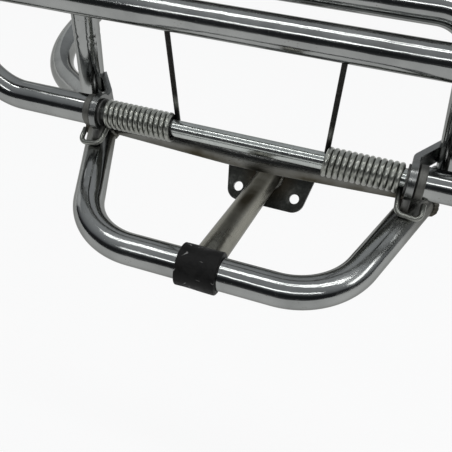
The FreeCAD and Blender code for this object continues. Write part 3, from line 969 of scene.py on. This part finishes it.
# %% Weld lines
OFF_AXIS = (0.3, 0.2, 0.9)
MEETING_TRIES = 160


def gap_to_tube(points, route, radius):
    """Distance of points from a tube's skin: to its nearest station, less its radius."""
    flat = points.reshape(-1, 3)
    square = (flat ** 2).sum(axis=1)[:, None] + (route ** 2).sum(axis=1) - 2 * flat @ route.T
    return (np.sqrt(np.maximum(square.min(axis=1), 0)) - radius).reshape(points.shape[:-1])


def meeting_line(start, along, radius, gap, reach, around=72):
    """Where the skin of a straight tube first meets another piece.

    Points start + radius (cos, sin) + t along are tried for t from 0 to reach. The first with no gap is
    kept, or the closest where the line misses the other piece."""
    along = unit(np.asarray(along, float))
    side = unit(np.cross(along, OFF_AXIS))
    third = np.cross(along, side)
    a = np.linspace(0, 2 * math.pi, around, endpoint=False)[:, None]
    ring = start + radius * (side * np.cos(a) + third * np.sin(a))
    t = np.linspace(0, reach, MEETING_TRIES)
    tried = ring[:, None] + t[None, :, None] * along
    inside = gap(tried) <= 0
    first = np.where(inside.any(axis=1), np.argmax(inside, axis=1), np.argmin(gap(tried), axis=1))
    return tried[np.arange(around), first], unit(ring - start)


# %% Weld metal and its pools
weld_metal = chrome_finish("chrome_weld", dull=0.16)
WELD_R = 2.1 * MM
WELD_STEP = 0.35 * MM
POOL_LENGTH = 2.4 * MM
BEAD_ROUND = 14
POOL_VALLEY = 0.82
POOL_SWELL = 0.22
SLOW_UNEVEN = 0.12
QUICK_UNEVEN = 0.08


def weld_bead(name, line, outward, grime_and_shade):
    """A closed bead along a line, with a grime value: its radius swells once for each pool of weld."""
    wrapped = np.concatenate([line, line[:1]])
    length = np.linalg.norm(np.diff(wrapped, axis=0), axis=1).sum()
    count = int(length / WELD_STEP)
    along = np.r_[0, np.cumsum(np.linalg.norm(np.diff(wrapped, axis=0), axis=1))]
    wanted = np.linspace(0, length, count, endpoint=False)
    fine = np.stack([np.interp(wanted, along, wrapped[:, k]) for k in range(3)], axis=1)
    out = np.concatenate([outward, outward[:1]])
    fine_out = np.stack([np.interp(wanted, along, out[:, k]) for k in range(3)], axis=1)
    pools = int(length / POOL_LENGTH)
    swell = np.abs(np.sin(math.pi * pools * wanted / length))
    turn = 2 * math.pi * wanted / length
    uneven = SLOW_UNEVEN * np.sin(3 * turn + 0.7) + QUICK_UNEVEN * np.sin(7 * turn)
    radius = WELD_R * (POOL_VALLEY + POOL_SWELL * np.sqrt(swell) + uneven)
    rings = swept_rings(fine, radius, fine_out, BEAD_ROUND, closed=True)
    bead = skin(name, rings, weld_metal, closed=True, crease=80)
    point_value(bead, "grime_and_shade", np.full(len(bead.data.vertices), grime_and_shade))
    dress(bead, "frame", "chrome")


# %% Beads
WELD_RUN = 30.0 * MM
UPRIGHT_PAST = 10.0 * MM
PLATE_PAST = 20.0 * MM
HINGE_WELD_GRIME = 0.85


def gap_to_rail(points):
    """Distance of points from the rail's skin."""
    return gap_to_tube(points, rail_route, TUBE_R)


for side, word in ((1, "right"), (-1, "left")):
    flip = np.array((side, 1, 1))
    hoop_dir = unit(hoop_right[0] - hoop_right[1])
    start = (hoop_right[0] - hoop_dir * WELD_RUN) * flip
    line, out = meeting_line(start, hoop_dir * flip, TUBE_R, gap_to_rail, WELD_RUN)
    weld_bead("weld_hoop_" + word, line, out, HINGE_WELD_GRIME)
    foot_dir = unit(grab_right[0] - grab_right[1])
    start = (grab_right[0] - foot_dir * WELD_RUN) * flip
    line, out = meeting_line(start, foot_dir * flip, GRAB_R, gap_to_rail, WELD_RUN + UPRIGHT_PAST)
    weld_bead("weld_upright_" + word, line, out, 0.0)
start = stay_foot - stay_run * WELD_RUN
line, out = meeting_line(start, stay_run, STAY_R, lambda p: p @ plate_axis, WELD_RUN + PLATE_PAST)
weld_bead("weld_stay", line, out, 1.0)

# %% [markdown]
# ## Camera and floor
# The camera stands where the photograph was taken from: close, above and to the right, so the hoop fills
# the frame and the ends run out of it. The floor is plain and pale. More lamps would make it white, but
# would also bleach the chrome, so most of its white is its own and the rest takes light and shadow.

# %% Camera
CAMERA_AT = (85.2 * MM, -313.0 * MM, 319.7 * MM)
CAMERA_LOOK = (-0.2342, 0.6311, -0.7395)
CAMERA_UP = (-0.2399, 0.6997, 0.6730)
FOCAL_PIXELS = 631.0
PHOTO_PIXELS = 452
SENSOR = 36.0

lens = bpy.data.cameras.new("camera")
lens.sensor_width = SENSOR
lens.lens = FOCAL_PIXELS / PHOTO_PIXELS * SENSOR
lens.clip_start = 0.01
camera = bpy.data.objects.new("camera", lens)
bpy.context.collection.objects.link(camera)
camera.location = CAMERA_AT
look = Vector(CAMERA_LOOK).normalized()
camera_side = look.cross(Vector(CAMERA_UP)).normalized()
camera.rotation_euler = Matrix((camera_side, camera_side.cross(look), -look)).transposed().to_euler()
bpy.context.scene.camera = camera
print("lens", round(lens.lens, 2), "mm")


# %% Floor
EVEN_WHITE = 0.85
FLOOR_BELOW = 380.0 * MM
FLOOR_HALF = 60.0


def floor_finish():
    """Plain white floor: mostly an even white to the eye and to mirrors, with some shading and shadow."""
    finish, tree, shader = new_finish("white_floor")
    shader.inputs["Base Color"].default_value = (0.95, 0.95, 0.945, 1)
    shader.inputs["Roughness"].default_value = 0.9
    shader.inputs["Specular IOR Level"].default_value = 0.1
    path = add(tree, "LightPath")
    seen = path.outputs["Is Camera Ray"]
    for other in ("Is Glossy Ray", "Is Transmission Ray"):
        seen = calc(tree, "MAXIMUM", seen, path.outputs[other])
    share = calc(tree, "MULTIPLY", seen, EVEN_WHITE)
    white = add(tree, "Emission", Color=(1, 1, 1, 1), Strength=1.0)
    both = add(tree, "MixShader", i0=share, i1=shader.outputs["BSDF"], i2=white.outputs["Emission"])
    tree.links.new(both.outputs["Shader"], tree.nodes["Material Output"].inputs["Surface"])
    return finish


floor_z = cad_box[0][2] - FLOOR_BELOW
floor_corners = [(x * FLOOR_HALF, y * FLOOR_HALF, floor_z) for x, y in ((-1, -1), (1, -1), (1, 1), (-1, 1))]
floor_mesh = bpy.data.meshes.new("floor")
floor_mesh.from_pydata(floor_corners, [], [(0, 1, 2, 3)])
floor_mesh.materials.append(floor_finish())
floor = bpy.data.objects.new("floor", floor_mesh)
bpy.context.collection.objects.link(floor)
print("floor at", round(floor_z, 3))

# %% [markdown]
# ## Lamps and room
# Chrome shows its room, so the room matters. Lamps show as bright lines, and most are long, narrow strips
# for that reason. Lamps alone would leave black between the lines. The world fills that in: grey overhead
# and a dark band near the horizon, tilted to stand higher behind the camera, which draws the long dark
# lines along every tube. A photographed room would do too, but a ramp needs no file.


# %% Lamps
def softbox(name, at, aim, width, length, watts):
    """A rectangular area lamp at a place, turned to a point, its length across the scene."""
    lamp = bpy.data.lights.new(name, "AREA")
    lamp.shape = "RECTANGLE"
    lamp.size = length
    lamp.size_y = width
    lamp.energy = watts
    holder = bpy.data.objects.new(name, lamp)
    bpy.context.collection.objects.link(holder)
    holder.location = at
    holder.rotation_euler = (Vector(aim) - Vector(at)).to_track_quat("-Z", "Y").to_euler()
    print(name, "watts", watts)


LAMP_AIM = (0, -0.03, 0.08)
softbox("ceiling_strip_near", (0.0, -0.04, 1.35), LAMP_AIM, 0.06, 1.8, 3.6)
softbox("ceiling_strip_far", (0.0, 0.16, 1.35), LAMP_AIM, 0.06, 1.8, 3.6)
softbox("rear_strip", (0.1, -0.95, 1.05), LAMP_AIM, 0.09, 1.6, 3.0)
softbox("side_strip", (1.15, 0.1, 0.8), LAMP_AIM, 0.22, 0.8, 2.5)
softbox("left_wall", (-1.3, 0.7, 0.35), LAMP_AIM, 0.8, 1.2, 1.6)

# %% Room
ROOM_TILT = 0.45
ROOM_LOW = 0.30
ROOM_DARK = (0.028, 0.030, 0.033)
ROOM_WALL = (0.267, 0.28, 0.295)
ROOM_HIGH = (0.485, 0.50, 0.52)
ROOM_TOP = (0.535, 0.55, 0.57)

world = bpy.data.worlds.new("room")
bpy.context.scene.world = world
world.use_nodes = True
room = world.node_tree
split = add(room, "SeparateXYZ", Vector=add(room, "TexCoord").outputs["Generated"])
height = calc(room, "MULTIPLY_ADD", split.outputs["Y"], ROOM_TILT, split.outputs["Z"])
level = rescale(room, height, (-1.0, 1.0), (0.0, 1.0))
sky = ramp(room, level, (0.0, ROOM_LOW), (0.40, ROOM_DARK), (0.58, ROOM_DARK),
           (0.66, ROOM_WALL), (0.85, ROOM_HIGH), (1.0, ROOM_TOP))
room.links.new(sky, room.nodes["Background"].inputs["Color"])
room.nodes["Background"].inputs["Strength"].default_value = 1.0
bpy.context.scene.view_settings.view_transform = "Standard"
print("room made, wall grey", ROOM_WALL)
